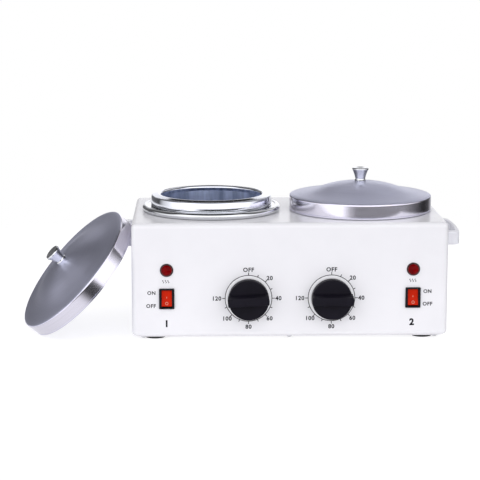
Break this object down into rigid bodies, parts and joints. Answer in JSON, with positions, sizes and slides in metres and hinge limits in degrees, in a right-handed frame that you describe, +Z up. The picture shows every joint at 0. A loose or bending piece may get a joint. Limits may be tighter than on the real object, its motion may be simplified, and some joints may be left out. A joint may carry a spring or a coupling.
{
  "type": "double wax warmer",
  "caption": "Rectangular countertop warmer with side by side heated wax pots, lift-off lids, dials and switches.",
  "frame": {"origin": "middle of the whole set's footprint, with the leaning lid, on the surface it stands on", "axes": "+X to the right seen from the front, +Y to the rear, +Z up; the dials face -Y"},
  "size_m": [0.4554, 0.2044, 0.1654],
  "materials": {
    "white_enamel": "smooth satin powder coat",
    "handle_grey": "satin moulded plastic",
    "brushed_aluminium": "spun, fine circular brushing",
    "polished_aluminium": "polished",
    "chrome": "mirror polished plate",
    "screw_steel": "zinc plated",
    "black_rubber": "matte",
    "red_silicone": "matte",
    "heater_steel": "mica band in a steel jacket",
    "white_wool": "ceramic wool blanket",
    "copper": "drawn copper",
    "white_ceramic": "glazed ceramic",
    "black_plastic": "fine satin moulded plastic",
    "red_rocker": "translucent moulded plastic",
    "red_lens": "translucent domed lens",
    "wire_sleeve": "heat resistant sleeve"
  },
  "bodies": {
    "housing": {"housing_shell": "white_enamel", "base_plate": "white_enamel", "cord_gland": "black_plastic", "foot_front_left": "black_rubber", "foot_front_right": "black_rubber", "foot_rear_left": "black_rubber", "foot_rear_right": "black_rubber", "left_handle": "handle_grey", "right_handle": "handle_grey", "left_heating_well": "chrome", "right_heating_well": "chrome", "left_lamp_lens": "red_lens", "right_lamp_lens": "red_lens", "left_switch_body": "black_plastic", "right_switch_body": "black_plastic", "left_heater_band": "heater_steel", "right_heater_band": "heater_steel", "left_insulation_wrap": "white_wool", "right_insulation_wrap": "white_wool", "left_tie_rod": "screw_steel", "right_tie_rod": "screw_steel", "left_thermal_fuse": "white_ceramic", "right_thermal_fuse": "white_ceramic", "left_capillary": "copper", "right_capillary": "copper", "left_thermostat_body": "black_plastic", "right_thermostat_body": "black_plastic", "left_lamp_body": "black_plastic", "right_lamp_body": "black_plastic", "left_switch_lead": "wire_sleeve", "right_switch_lead": "wire_sleeve", "left_heater_lead": "wire_sleeve", "right_heater_lead": "wire_sleeve", "left_well_gasket": "red_silicone", "right_well_gasket": "red_silicone", "tie_rod_nuts": "screw_steel", "foot_nuts": "screw_steel", "foot_screws": "screw_steel", "handle_screws": "screw_steel", "thermostat_screws": "screw_steel", "gland_nut": "black_plastic", "terminal_block": "white_ceramic", "earth_stud": "screw_steel", "base_screws": "screw_steel"},
    "left_pot": {"left_inner_pot": "polished_aluminium"},
    "right_pot": {"right_inner_pot": "polished_aluminium"},
    "left_lid_set": {"left_lid": "brushed_aluminium", "left_lid_knob": "chrome", "left_lid_screw": "screw_steel"},
    "right_lid_set": {"right_lid": "brushed_aluminium", "right_lid_knob": "chrome", "right_lid_screw": "screw_steel"},
    "left_dial": {"left_dial_knob": "black_plastic", "left_dial_spindle": "screw_steel"},
    "right_dial": {"right_dial_knob": "black_plastic", "right_dial_spindle": "screw_steel"},
    "left_switch": {"left_rocker": "red_rocker"},
    "right_switch": {"right_rocker": "red_rocker"}
  },
  "joints": [
    {"name": "left_pot_lift", "type": "slide", "parent": "housing", "child": "left_pot", "axis": [0, 0, 1], "range_m": [0, 0.11]},
    {"name": "right_pot_lift", "type": "slide", "parent": "housing", "child": "right_pot", "axis": [0, 0, 1], "range_m": [0, 0.11]},
    {"name": "right_lid_lift", "type": "slide", "parent": "right_pot", "child": "right_lid_set", "axis": [0, 0, 1], "range_m": [0, 0.08]},
    {"name": "left_lid_lift", "type": "slide", "parent": "housing", "child": "left_lid_set", "axis": [-0.7182, -0.2244, 0.6587], "range_m": [0, 0.08]},
    {"name": "left_dial_turn", "type": "hinge", "parent": "housing", "child": "left_dial", "pos_m": [0.00522, -0.08081, 0.0443], "axis": [0, 1, 0], "range_deg": [-267, 3]},
    {"name": "right_dial_turn", "type": "hinge", "parent": "housing", "child": "right_dial", "pos_m": [0.08922, -0.08081, 0.0443], "axis": [0, 1, 0], "range_deg": [-90, 180]},
    {"name": "left_switch_tip", "type": "hinge", "parent": "housing", "child": "left_switch", "pos_m": [-0.07737, -0.07881, 0.0444], "axis": [1, 0, 0], "range_deg": [0, 18]},
    {"name": "right_switch_tip", "type": "hinge", "parent": "housing", "child": "right_switch", "pos_m": [0.17183, -0.07881, 0.0444], "axis": [1, 0, 0], "range_deg": [0, 18]}
  ]
}
